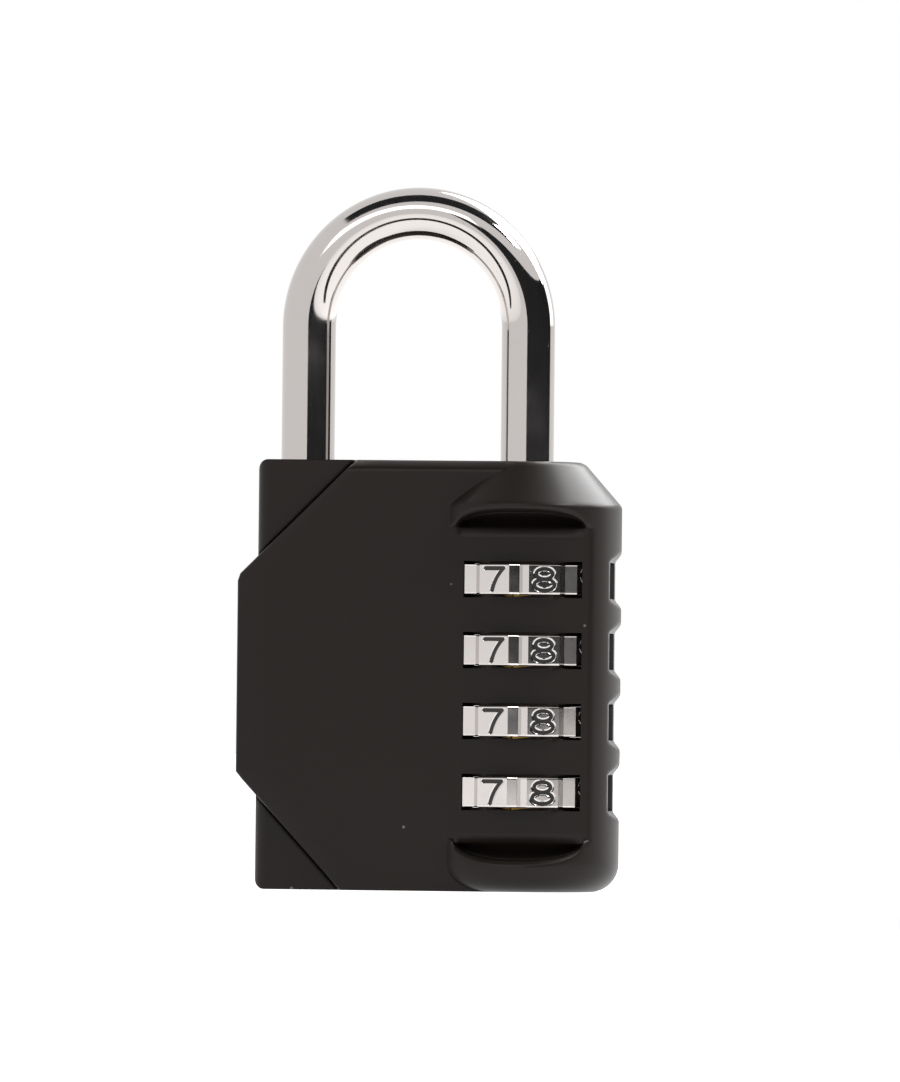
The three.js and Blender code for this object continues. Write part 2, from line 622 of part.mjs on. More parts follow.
group.add(piece("shackle", shackle(), CHROME));
group.add(piece("lift_yoke", liftYoke(), STEEL));
group.add(piece("code_spindle", codeSpindle(), STEEL));
group.add(piece("spindle_nut", spindleNut(), STEEL));
const coil = roundBar(new Coil(), SPRING_WIRE, WIRE_FACETS, SPRING_TURNS * TURN_STEPS);
group.add(piece("shackle_spring", coil, STEEL));

group.add(piece("detent_spring", detentLeaf(), STEEL));
rivetHeights().forEach((z, i) => {
  group.add(piece(`detent_rivet_${i + 1}`, detentRivet(z), STEEL));
});

export default group;
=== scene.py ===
"""Surfaces, finishes and studio of a four-dial combination padlock.

Lengths in this file are millimetres unless a name says otherwise. X runs to the right, Y to the
back and Z up, from the middle of the base. The two halves of the cast shell mirror each other, so
each front surface is worked out once and turned over for the back.
"""

import math

import bpy
import numpy as np
from bpy.props import FloatProperty, FloatVectorProperty, IntProperty, PointerProperty
from mathutils import Euler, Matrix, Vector


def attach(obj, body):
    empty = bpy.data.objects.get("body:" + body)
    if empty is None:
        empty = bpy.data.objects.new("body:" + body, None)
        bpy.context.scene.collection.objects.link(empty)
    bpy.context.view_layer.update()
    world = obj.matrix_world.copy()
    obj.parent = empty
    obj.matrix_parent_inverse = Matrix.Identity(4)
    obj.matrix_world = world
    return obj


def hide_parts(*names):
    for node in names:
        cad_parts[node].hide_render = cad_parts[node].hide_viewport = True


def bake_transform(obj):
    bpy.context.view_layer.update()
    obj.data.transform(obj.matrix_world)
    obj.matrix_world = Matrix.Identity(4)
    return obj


bl_info = {
    "name": "Combination padlock",
    "version": (1, 0, 0),
    "blender": (4, 5, 0),
    "location": "3D View > Sidebar > Padlock",
    "description": "Builds a four-dial combination padlock and its studio",
    "category": "Add Mesh",
}

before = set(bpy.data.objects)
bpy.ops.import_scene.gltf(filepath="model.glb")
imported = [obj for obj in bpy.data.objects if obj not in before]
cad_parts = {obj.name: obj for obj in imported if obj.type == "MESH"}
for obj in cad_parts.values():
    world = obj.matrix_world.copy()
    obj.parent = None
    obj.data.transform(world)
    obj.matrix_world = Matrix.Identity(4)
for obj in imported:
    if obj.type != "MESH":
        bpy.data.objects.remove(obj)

MM = 0.001  # metres in a millimetre
WELD_DECIMALS = 4  # of a millimetre, by which two points are told apart
FAR = 9.0  # a distance to a digit's stroke that is past every edge

# Sizes that several pieces share.
BODY_LEFT = -22.0
BODY_TOP = 49.8
SEAM_HALF = 0.155  # half the gap between the two castings
HEEL_X = -14.7  # the long leg's axis
DIAL_X = 10.9  # the dials' axis, which the short leg stands on
DIAL_COUNT = 4
DIAL_PITCH = 8.2
TOP_DIAL_Z = 36.1
DIAL_Z = TOP_DIAL_Z - DIAL_PITCH * np.arange(DIAL_COUNT)


# --- Meshes -----------------------------------------------------------------------------------

def grid_faces(rows, columns, start=0):
    """Quads of a rows by columns grid of points that begins at index start, row after row."""
    corner = start + np.arange(rows - 1)[:, None] * columns + np.arange(columns - 1)[None, :]
    return np.stack([corner, corner + 1, corner + columns + 1, corner + columns], axis=-1)


def tube_faces(rows, columns, start=0):
    """Quads of a grid whose last column joins its first."""
    row = start + np.arange(rows - 1)[:, None] * columns
    here = np.arange(columns)[None, :]
    after = (here + 1) % columns
    return np.stack([row + here, row + after, row + columns + after, row + columns + here], axis=-1)


def weld(points, quads):
    """Points that round to one place made one. A quad with one closed side becomes a triangle."""
    kept, again = np.unique(np.round(points, WELD_DECIMALS), axis=0, return_inverse=True)
    quads = again.reshape(-1)[quads.reshape(-1, 4)]
    same = quads == np.roll(quads, -1, axis=1)
    whole = quads[~same.any(axis=1)]
    whole = whole[(whole[:, 0] != whole[:, 2]) & (whole[:, 1] != whole[:, 3])]
    thin = same.sum(axis=1) == 1
    corners = (np.argmax(same[thin], axis=1)[:, None] + np.arange(1, 4)) % 4
    triangles = np.take_along_axis(quads[thin], corners, axis=1)
    return kept, whole.tolist() + triangles.tolist()


def add_piece(name, points, faces, material, body, node, crease=35.0):
    """A named smooth-shaded mesh that rides on a body, stands for a node and wears one finish."""
    mesh = bpy.data.meshes.new(name)
    mesh.from_pydata(np.asarray(points) * MM, [], faces)
    mesh.validate()
    mesh.shade_smooth()
    mesh.set_sharp_from_angle(angle=math.radians(crease))
    mesh.materials.append(material)
    piece = bpy.data.objects.new(name, mesh)
    bpy.context.scene.collection.objects.link(piece)
    if body:
        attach(piece, body)
    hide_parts(node)
    return piece


def smoothstep(value):
    """0 below 0, 1 above 1, and a smooth S between."""
    value = np.clip(value, 0.0, 1.0)
    return value * value * (3.0 - 2.0 * value)


# --- Finishes ---------------------------------------------------------------------------------

def linear(code):
    """An sRGB hex colour as linear red, green, blue and alpha."""
    parts = [int(code[i:i + 2], 16) / 255 for i in (0, 2, 4)]
    return tuple(p / 12.92 if p <= 0.04045 else ((p + 0.055) / 1.055) ** 2.4 for p in parts) + (1.0,)


def add_node(tree, kind, settings=None, **inputs):
    """A node of a kind with its settings, each input given a value or joined to another's output.

    An input is named with _ for each space, or numbered, as i0 is.
    """
    made = tree.nodes.new(kind)
    for key, value in (settings or {}).items():
        setattr(made, key, value)
    for key, value in inputs.items():
        numbered = key[0] == "i" and key[1:].isdigit()
        socket = made.inputs[int(key[1:]) if numbered else key.replace("_", " ")]
        if isinstance(value, bpy.types.NodeSocket):
            tree.links.new(value, socket)
        else:
            socket.default_value = value
    return made


def start_material(name):
    """An empty material, its tree, and Object coordinates."""
    material = bpy.data.materials.new(name)
    material.use_nodes = True
    tree = material.node_tree
    tree.nodes.clear()
    place = add_node(tree, "ShaderNodeTexCoord").outputs["Object"]
    return material, tree, place


def end_material(material, tree, shader):
    """Joins the last shader to the output."""
    add_node(tree, "ShaderNodeOutputMaterial", Surface=shader.outputs[0])
    return material


def noise(tree, place, size, detail=3.0, rough=0.55):
    """Noise whose patches are about size millimetres across."""
    made = add_node(tree, "ShaderNodeTexNoise", Vector=place, Scale=0.5 / (size * MM), Detail=detail,
                    Roughness=rough)
    return made.outputs["Fac"]


def ramp(tree, value, low, high, start, end):
    """The value carried from one range to another and held at its ends."""
    made = add_node(tree, "ShaderNodeMapRange", {"clamp": True}, Value=value, From_Min=low, From_Max=high,
                    To_Min=start, To_Max=end)
    return made.outputs["Result"]


def math_node(tree, operation, first, second):
    """Two values put through one sum."""
    return add_node(tree, "ShaderNodeMath", {"operation": operation}, i0=first, i1=second).outputs[0]


def mix_colour(tree, share, first, second):
    """Two colours blended by a share."""
    return add_node(tree, "ShaderNodeMix", {"data_type": "RGBA"}, i0=share, i6=first, i7=second).outputs[2]


def stretched_noise(tree, place, stretch, size, detail, rough):
    """Noise drawn out into lines by scaling its place."""
    moved = add_node(tree, "ShaderNodeMapping", Vector=place, Scale=stretch)
    return noise(tree, moved.outputs[0], size, detail, rough)


def specks(tree, place, size, share, shift):
    """1 in a scatter of round specks, size millimetres apart, of which only a share is kept.

    A shift in metres gives each use its own scatter. A speck is a seventh of the spacing across.
    """
    moved = add_node(tree, "ShaderNodeVectorMath", {"operation": "ADD"}, i0=place, i1=(shift, 0.0, 0.0))
    cells = add_node(tree, "ShaderNodeTexVoronoi", Vector=moved.outputs[0], Scale=1 / (size * MM))
    near = ramp(tree, cells.outputs["Distance"], 0.05, 0.09, 1.0, 0.0)
    picked = add_node(tree, "ShaderNodeSeparateColor", Color=cells.outputs["Color"]).outputs[0]
    return math_node(tree, "MULTIPLY", near, math_node(tree, "LESS_THAN", picked, share))


def bump(tree, strength, depth, height, normal=None, sunk=False):
    """A bump of a depth in millimetres over an earlier normal, raised or sunk."""
    over = {} if normal is None else {"Normal": normal}
    made = add_node(tree, "ShaderNodeBump", {"invert": sunk}, Strength=strength, Distance=depth * MM,
                    Height=height, **over)
    return made.outputs[0]


def black_paint(name, settings, rounding):
    """Satin black powder coat over die-cast zinc, on edges rounded by a radius in millimetres."""
    material, tree, place = start_material(name)
    # Powder coat flows out in low mounds a millimetre or so wide, so reflections waver slightly.
    mounds = noise(tree, place, 1.6, 2.0)
    # Under the mounds lies a fine tooth that gives the satin its grain.
    tooth = noise(tree, place, 0.12, 2.0)
    # Handling leaves broad patches a little glossier than the rest.
    handled = noise(tree, place, 14.0, 3.0)
    # A few dust specks caught on the coat show as tiny pale points.
    dust = specks(tree, place, 2.6, 0.14, 0.013)
    colour = mix_colour(tree, handled, (*settings.coat, 1.0), linear("1a1512"))
    colour = mix_colour(tree, math_node(tree, "MULTIPLY", dust, 0.55), colour, linear("8a8784"))
    gloss = ramp(tree, handled, 0.3, 0.7, settings.roughness + 0.03, settings.roughness - 0.04)
    gloss = math_node(tree, "ADD", gloss, math_node(tree, "MULTIPLY", dust, 0.25))
    # The coat is thick enough to round every cast edge.
    normal = add_node(tree, "ShaderNodeBevel", {"samples": 6}, Radius=rounding * MM).outputs[0]
    normal = bump(tree, 0.25, 0.03, mounds, normal)
    normal = bump(tree, 0.3, 0.008, tooth, normal)
    shader = add_node(tree, "ShaderNodeBsdfPrincipled", Base_Color=colour, Roughness=gloss,
                      Specular_IOR_Level=0.19, Normal=normal)
    return end_material(material, tree, shader)


def chrome_nodes(tree, place, tint, rough):
    """Bright chrome plate: a near-mirror with pits, hairlines and faint smears."""
    # Plating pits are dark pinpricks: one cell in ten, half a millimetre wide, has one.
    pits = specks(tree, place, 0.55, 0.10, 0.029)
    # Wear leaves hairline rubs along the bar and round the dial.
    rubs = stretched_noise(tree, place, (6.0, 6.0, 0.6), 0.5, 4.0, 0.7)
    # Finger smears dull broad patches slightly.
    smears = noise(tree, place, 5.0, 3.0)
    gloss = ramp(tree, smears, 0.45, 0.75, rough, rough + 0.07)
    gloss = math_node(tree, "ADD", gloss, math_node(tree, "MULTIPLY", pits, 0.3))
    dark = math_node(tree, "MULTIPLY", pits, 0.75)
    colour = mix_colour(tree, dark, (*tint, 1.0), linear("3a3735"))
    normal = bump(tree, 0.12, 0.004, rubs)
    normal = bump(tree, 0.5, 0.02, pits, normal, sunk=True)
    return add_node(tree, "ShaderNodeBsdfPrincipled", Base_Color=colour, Metallic=1.0, Roughness=gloss,
                    Normal=normal)


def chrome_plate(settings):
    """Bright chrome over steel, for the shackle."""
    material, tree, place = start_material("bright_chrome_plate")
    return end_material(material, tree, chrome_nodes(tree, place, settings.chrome, 0.05))


def dial_chrome(settings):
    """Chrome over zinc with digits cut in and filled with black paint."""
    material, tree, place = start_material("chrome_dial_with_filled_digits")
    plating = chrome_nodes(tree, place, settings.chrome, 0.07)
    stroke = add_node(tree, "ShaderNodeAttribute", {"attribute_name": "stroke"}).outputs["Fac"]
    # The paint fills each cut and stops at its edge.
    inked = ramp(tree, stroke, 0.21, 0.24, 1.0, 0.0)
    paint = add_node(tree, "ShaderNodeBsdfPrincipled", Base_Color=linear("100f0f"), Roughness=0.45)
    shader = add_node(tree, "ShaderNodeMixShader", i0=inked, i1=plating.outputs[0], i2=paint.outputs[0])
    return end_material(material, tree, shader)


def metal(name, code, worn, rough, grain):
    """A bare metal with turning marks grain millimetres apart, worn patches and specks of dirt."""
    material, tree, place = start_material(name)
    # Turning or drawing leaves close lines; wear brightens the high patches.
    lines = stretched_noise(tree, place, (0.3, 0.3, 6.0), grain, 4.0, 0.7)
    patches = noise(tree, place, 3.0, 4.0)
    dirt = specks(tree, place, 0.8, 0.2, 0.017)
    colour = mix_colour(tree, ramp(tree, patches, 0.35, 0.7, 0.0, 1.0), linear(code), linear(worn))
    colour = mix_colour(tree, math_node(tree, "MULTIPLY", dirt, 0.6), colour, linear("2a2622"))
    gloss = ramp(tree, patches, 0.3, 0.7, rough, rough + 0.14)
    shader = add_node(tree, "ShaderNodeBsdfPrincipled", Base_Color=colour, Metallic=1.0, Roughness=gloss,
                      Normal=bump(tree, 0.35, 0.01, lines))
    return end_material(material, tree, shader)


# --- Shell ------------------------------------------------------------------------------------

class ShellShape:
    """The outline and sections of half of the cast shell. dx is measured from the dials' axis."""

    lip = 0.8  # radius of the rounding along each rim
    wall = 0.12  # rise of the steep wall behind each rim
    low_scoop = (5.6, 6.7)  # where the toe's scoop meets its slope, and the slope the panel
    high_scoop = (40.9, 42.05)  # where the panel meets the hood's slope, and the slope its scoop
    scoop = 1.8  # depth of both scoops
    slope = 0.42  # how much of that depth is the slope's
    corner = 0.45  # radius of the plate's left edge
    core_show = -20.1  # where the plate's edge lies right of this, it stands on the core
    core_half = 5.3  # middle plane to the edge of the core's room
    core_left = -20.15
    core_corner = 6.42  # across plus depth, at most, where the room's corners are cut

    def __init__(self, settings):
        self.radius = settings.nose_radius
        self.plate = settings.plate_depth
        self.panel_half = math.sqrt(self.radius ** 2 - self.plate ** 2)
        self.room = 9.9  # radius of the space that the dials turn in
        self.window = (-6.58, 7.15)  # left and right edge of the front windows
        self.window_half = 2.1  # half their height
        self.side_window = math.acos(3.4 / self.radius)  # angle where the side windows begin
        self.scallop = self.radius - 1.05  # how far the drum reaches beside a window
        self.scallop_reach = 3.45  # from a dial's middle up or down to the full drum

    def rim_low(self, dx):
        """Height of the toe's rim, a flat half-ellipse that sags in the middle."""
        rim, sag, half, power = 6.1, 2.5, 7.6, 2.4
        return rim - sag * np.sqrt(np.clip(1 - np.abs(dx / half) ** power, 0, 1))

    def rim_high(self, dx):
        """Height of the hood's rim, a flat half-ellipse that rises in the middle."""
        rim, rise, half, power = 42.0, 2.05, 7.5, 3.0
        return rim + rise * np.sqrt(np.clip(1 - np.abs(dx / half) ** power, 0, 1))

    def share(self, z):
        """The nose's radius at a height over its full radius: a filleted toe and a coned hood.

        The toe is a quarter circle. The hood rounds into its cone over a short turn, and the cone
        into the top over a quarter circle.
        """
        fillet, hood, turn, lean, crown = 3.3, 44.7, 0.6, 4.0 / 4.6, 0.45
        under = np.clip((fillet - z) / fillet, 0, 1)
        toe = 1 - fillet / self.radius * (1 - np.sqrt(1 - under ** 2))
        rise = np.clip(z - (hood - turn / 2), 0, None)
        soft = np.where(rise < turn, rise ** 2 / (2 * turn), rise - turn / 2)
        over = np.clip(z - (BODY_TOP - crown), 0, crown)
        cone = 1 - (soft * lean + crown - np.sqrt(crown ** 2 - over ** 2 * 0.98)) / self.radius
        return np.minimum(toe, cone)

    def plate_depth(self, z):
        """The plate's distance from the middle plane: flat, with a rounded bevel under its top edge."""
        bevel = 1.25
        over = np.clip(z - (BODY_TOP - bevel), 0, None)
        return self.plate - 0.85 * over ** 1.6

    def edge_x(self, z):
        """The plate's left edge: upright, with both corners cut away at a slant."""
        foot_x, low_corner, high_corner = -9.8, 13.5, 36.24
        low = foot_x + (BODY_LEFT - foot_x) * np.clip(z / low_corner, 0, 1)
        high = BODY_LEFT + np.clip(z - high_corner, 0, None)
        return np.maximum(low, high)


def column_stations(shape):
    """Stations across the nose as angles about the dials' axis, denser at every edge."""
    half = shape.panel_half
    low, high = shape.window
    across = np.concatenate([
        np.linspace(-half, low, 9)[:-1],
        np.linspace(low, high, 25)[:-1],
        np.linspace(high, half, 8)[:-1],
    ])
    start = math.asin(half / shape.radius)
    scallop = math.asin(shape.scallop / shape.radius)
    seam = math.acos(SEAM_HALF / shape.radius)
    angles = np.concatenate([
        np.linspace(start, scallop, 12)[:-1],
        np.linspace(scallop, shape.side_window, 6)[:-1],
        np.linspace(shape.side_window, seam, 8),
    ])
    return np.concatenate([np.arcsin(across / shape.radius), angles])


def row_stations(shape, across):
    """Heights of every row at every nose station. Rows bend with the two rims and keep their order.

    Returns the heights and, for each row, its kind and how far through that kind it is.
    """
    low, high = shape.rim_low(across), shape.rim_high(across)
    lip, wall, top = shape.lip, shape.wall, BODY_TOP
    scoop_end, slope_end = shape.low_scoop
    slope_start, scoop_start = shape.high_scoop
    rows, kinds, shares = [], [], []

    def add(kind, count, height, last=False):
        steps = np.linspace(0, 1, count + (1 if last else 0), endpoint=last)
        for step in steps:
            rows.append(height(step) + 0 * across)
            kinds.append(kind)
            shares.append(step)

    add("nose", 16, lambda t: (low - lip) * (1 - math.cos(t * math.pi / 2)))
    add("low_lip", 9, lambda t: low - lip + lip * math.sin(t * math.pi / 2))
    add("low_wall", 4, lambda t: low + wall * t)
    add("low_scoop", 9, lambda t: (low + wall) * (1 - t) + scoop_end * t)
    add("low_slope", 8, lambda t: scoop_end + (slope_end - scoop_end) * t)
    edges = [slope_end]
    for z in DIAL_Z[::-1]:
        half, reach = shape.window_half, shape.scallop_reach
        edges += [z - reach, z - half, z + half, z + reach]
    edges.append(slope_start)
    for k, (start, end) in enumerate(zip(edges[:-1], edges[1:])):
        count = (7, 5, 5, 5)[k % 4] if 0 < k < len(edges) - 2 else 6
        add("panel", count, lambda t, a=start, b=end: a + (b - a) * t)
    add("high_slope", 8, lambda t: slope_start + (scoop_start - slope_start) * t)
    add("high_scoop", 9, lambda t: scoop_start * (1 - t) + (high - wall) * t)
    add("high_wall", 4, lambda t: high - wall + wall * t)
    add("high_lip", 9, lambda t: high + lip * (1 - math.cos(t * math.pi / 2)))
    add("nose", 30, lambda t: (high + lip) * (1 - t) + top * t, last=True)
    # Rows that would cross are pushed up to stand a hair apart.
    heights = np.array(rows)
    least = 0.004 * np.arange(len(rows))[:, None]
    heights = np.maximum.accumulate(heights - least, axis=0) + least
    heights = heights * top / heights[-1]
    return heights, np.array(kinds), np.array(shares)


def nose_depths(shape, nose, across, kinds, shares):
    """Depth of every nose point: the round drum, cut by the panel and its two scoops, with round lips.

    A scoop falls from the panel by a power curve on its slope, then by a quarter sine to its floor.
    """
    lip, steep, bow = shape.lip, 1.4, 0.95
    scoop_half, scoop_fade = 7.75, 1.0
    fade = smoothstep((scoop_half - np.abs(across)) / scoop_fade)[None, :]
    kind, t = kinds[:, None], shares[:, None]
    turn = t * math.pi / 2
    panel = np.full_like(nose, shape.plate)
    # The panel rounds over into the drum on its right.
    ease = 0.35
    blend = np.clip((panel - nose + ease) / (2 * ease), 0, 1)
    soft = panel * (1 - blend) + nose * blend - ease * blend * (1 - blend)
    flat = np.where(across[None, :] > 0, soft, np.minimum(nose, panel))
    floor = np.minimum(nose, flat - shape.scoop * fade)
    slope = shape.slope * fade
    brink = flat - slope
    edge = np.maximum(nose - fade * lip, floor)
    depths = {
        "panel": flat,
        "low_slope": flat - slope * (1 - t) ** steep,
        "high_slope": flat - slope * t ** steep,
        "low_scoop": brink - (brink - floor) * np.cos(turn) ** bow,
        "high_scoop": brink - (brink - floor) * np.sin(turn) ** bow,
        "low_lip": np.maximum(nose - fade * lip * (1 - np.cos(turn)), floor),
        "high_lip": np.maximum(nose - fade * lip * (1 - np.sin(turn)), floor),
        "low_wall": edge + (floor - edge) * t,
        "high_wall": floor + (edge - floor) * t,
    }
    depth = nose
    for name, made in depths.items():
        depth = np.where(kind == name, made, depth)
    # Past the scoops' ends each lip is a plain round step from the panel to the drum.
    step = np.where(kind == "low_lip", np.cos(turn), np.where(kind == "high_lip", np.sin(turn), 0.0))
    plain_step = flat + (nose - flat) * step
    ended = ~np.isin(kind, ("nose", "panel")) & (np.abs(across)[None, :] < shape.panel_half + 0.01)
    return np.where(ended, plain_step * (1 - fade) + depth * fade, depth)


def scalloped(shape, x, z):
    """How far right each nose point may reach: full beside a rib, drawn in beside a window."""
    away = np.min(np.abs(z[..., None] - DIAL_Z), axis=-1)
    rise = (away - shape.window_half) / (shape.scallop_reach - shape.window_half)
    limit = shape.scallop + (shape.radius - shape.scallop) * smoothstep(rise) ** 0.8
    return np.minimum(x, np.where(away > shape.scallop_reach, shape.radius, limit))


def left_columns(shape, edge, plate, nose_left):
    """Across and depth of the columns left of the nose: a return, the wall, a round corner, the plate.

    edge, plate and nose_left hold one value for each row.
    """
    corner = shape.corner
    start = edge + corner
    beside_nose = np.array([-2.6, -1.6, -0.8, -0.3])
    spread = np.linspace(0, 1, 8)[:-1]
    plate_x = np.concatenate([
        start + (nose_left + beside_nose[0] - start) * spread,
        nose_left + beside_nose,
    ], axis=1)
    plate_y = np.repeat(plate, plate_x.shape[1], axis=1)
    bends = np.linspace(math.pi / 2, 0, 6)[:-1]
    corner_x = start - corner * np.sin(bends)
    corner_y = plate - corner + corner * np.cos(bends)
    # Beside the core the wall stops short of the core's face, elsewhere at the seam.
    on_core = edge > shape.core_show
    foot = np.where(on_core, 5.0, SEAM_HALF)
    wall_x = np.repeat(edge, 2, axis=1)
    wall_y = foot + (plate - corner - foot) * np.array([0.0, 0.5])
    return_x = edge + np.where(on_core, 0.3, 1.3)
    x = np.concatenate([return_x, wall_x, corner_x, plate_x], axis=1)
    y = np.concatenate([foot, wall_y, corner_y, plate_y], axis=1)
    return x, y


def shell_half(shape):
    """Points and quads of the front half.

    Each row runs at one height (bent along the rims) from the left seam along the wall, round the
    edge, over the plate, and round the drum whose radius is share(z) of the full radius.
    """
    angles = column_stations(shape)
    across = shape.radius * np.sin(angles)
    z, kinds, shares = row_stations(shape, across)
    plate = shape.plate_depth(z)
    share = shape.share(z)
    # Where the drum narrows, the stations are drawn together so that the first stays on the plate.
    first = -np.arccos(np.clip(plate / (shape.radius * share), 0, 1))
    full = -math.acos(shape.plate / shape.radius)
    bent = first + (angles[None, :] - full) * (angles[-1] - first) / (angles[-1] - full)
    nose = shape.radius * share * np.cos(bent)
    nose_x = DIAL_X + scalloped(shape, shape.radius * share * np.sin(bent), z)
    depth = nose_depths(shape, nose, across, kinds, shares)
    row_z = z[:, :1]
    left_x, left_y = left_columns(shape, shape.edge_x(row_z), plate[:, :1], nose_x[:, :1])
    lead = left_x.shape[1]
    # The last column returns inwards along the seam on the right.
    seam_wall, seam_most = 1.3, 8.7
    return_x = DIAL_X + np.clip(shape.radius * share[:, -1:] - seam_wall, 0, seam_most)
    x = np.concatenate([left_x, nose_x, return_x], axis=1)
    y = np.concatenate([left_y, depth, depth[:, -1:]], axis=1)
    z = np.concatenate([np.repeat(row_z, lead, axis=1), z, z[:, -1:]], axis=1)
    points = np.stack([x, -y, z], axis=-1)
    quads = grid_faces(*x.shape)[~open_cells(shape, points, lead, angles)]
    shelves, shelf_quads = window_shelves(shape, points, lead, angles, x.size)
    ends, end_quads = end_faces(shape, points, x.size + len(shelves))
    everything = np.concatenate([points.reshape(-1, 3), shelves, ends])
    return everything, np.concatenate([quads, shelf_quads, end_quads])


def open_cells(shape, points, lead, angles):
    """True for each quad of the grid that lies inside a front window or a side window."""
    middle_z = (points[:-1, :-1, 2:] + points[1:, 1:, 2:]) / 2
    level = np.abs(middle_z - DIAL_Z).min(axis=-1) < shape.window_half
    middle_angle = np.append((angles[:-1] + angles[1:]) / 2, angles[-1])
    across = shape.radius * np.sin(middle_angle)
    front = (across > shape.window[0]) & (across < shape.window[1])
    opened = front | (middle_angle > shape.side_window)
    return level & np.concatenate([np.zeros(lead, dtype=bool), opened])[None, :]


def window_shelves(shape, points, lead, angles, start):
    """The floor and ceiling of every window.

    Each is a ruled surface, level at one height, from the shell's own edge (or the dials' room where
    the shell is whole) to a circle about the dials' axis. Near the ring it steps up to a land, which
    drops away by a bell curve in the middle of a floor's front.
    """
    tiny, middle_column = 1e-6, 12
    step, land, inner, land_rise = 8.6, 8.4, 7.0, 0.31
    dip, dip_x, dip_half = 0.8, -1.0, 1.6
    heights = points[:, lead + middle_column, 2]
    across = shape.radius * np.sin(angles)
    keep = across >= shape.window[0] - tiny
    in_front = keep & (across <= shape.window[1] + tiny)
    opened = (in_front | (angles >= shape.side_window - tiny))[keep]
    made, quads = [], []
    for z in DIAL_Z:
        for sign in (-1, 1):
            row = int(np.argmin(np.abs(heights - (z + sign * shape.window_half))))
            edge = points[row, lead:lead + len(angles)][keep]
            dx, dy = edge[:, 0] - DIAL_X, edge[:, 1]
            reach = np.hypot(dx, dy)
            outer = np.where(opened, reach, np.minimum(shape.room, reach))
            bell = np.exp(-((dx - dip_x) / dip_half) ** 2) * (dy < 0)
            lift = -sign * land_rise * (1 - (dip * bell if sign < 0 else 0.0)) + 0.0 * dx
            level = np.zeros_like(dx)
            radii = np.stack([outer, np.minimum(outer, step), level + land, level + inner])
            lifts = np.stack([level, level, lift, lift])
            spots = (DIAL_X + radii * dx / reach, radii * dy / reach, edge[:, 2].mean() + lifts)
            faces = grid_faces(*radii.shape, start + radii.size * len(made)).reshape(-1, 4)
            quads.append(faces if sign < 0 else faces[:, ::-1])
            made.append(np.stack(spots, axis=-1).reshape(-1, 3))
    return np.concatenate(made), np.concatenate(quads)


def end_faces(shape, points, start):
    """The shell's flat foot and top, ruled from the outer edge in to the core's room.

    Right of the dials' axis the room is a square with cut corners, met along each ray from the axis.
    Left of it the room runs straight to the core's left face.
    """
    tiny, turned_in = 1e-6, 1.2
    made, quads = [], []
    for row, inwards in ((0, turned_in), (-1, -turned_in)):
        edge = points[row, :-1]
        dx, dy = edge[:, 0] - DIAL_X, -edge[:, 1]
        reach = np.maximum(np.hypot(dx, dy), tiny)
        cos, sin = dy / reach, np.abs(dx) / reach
        square = np.minimum(shape.core_half / np.maximum(cos, tiny), shape.core_half / np.maximum(sin, tiny))
        room = np.minimum(np.minimum(square, shape.core_corner / (cos + sin)), reach)
        right = dx > 0
        inner_x = np.where(right, DIAL_X + dx / reach * room, np.maximum(edge[:, 0], shape.core_left))
        inner_y = np.where(right, dy / reach * room, np.minimum(dy, shape.core_half))
        inner = np.stack([inner_x, -inner_y, edge[:, 2]], axis=-1)
        grid = np.stack([edge, inner, inner + np.array([0.0, 0.0, inwards])])
        rows, columns = grid.shape[:2]
        faces = grid_faces(rows, columns, start + len(made) * rows * columns).reshape(-1, 4)
        quads.append(faces[:, ::-1] if row == 0 else faces)
        made.append(grid.reshape(-1, 3))
    return np.concatenate(made), np.concatenate(quads)


# --- Bars -------------------------------------------------------------------------------------

def swept(path, tangents, sides_axis, radii, sides):
    """A round bar: circles of the given radii square to a path that stays in one plane."""
    turn = np.arange(sides) / sides * 2 * math.pi
    across = np.cross(tangents, sides_axis)
    across /= np.linalg.norm(across, axis=1, keepdims=True)
    ring = (np.cos(turn)[None, :, None] * across[:, None, :]
            + np.sin(turn)[None, :, None] * np.asarray(sides_axis)[None, None, :])
    return path[:, None, :] + radii[:, None, None] * ring


def capped(path, rings):
    """Points and quads of a tube whose ends close on the path's two ends."""
    sides = rings.shape[1]
    first, last = [np.repeat(path[k][None, None, :], sides, axis=1) for k in (0, -1)]
    grid = np.concatenate([first, rings, last])
    return grid.reshape(-1, 3), tube_faces(grid.shape[0], sides)


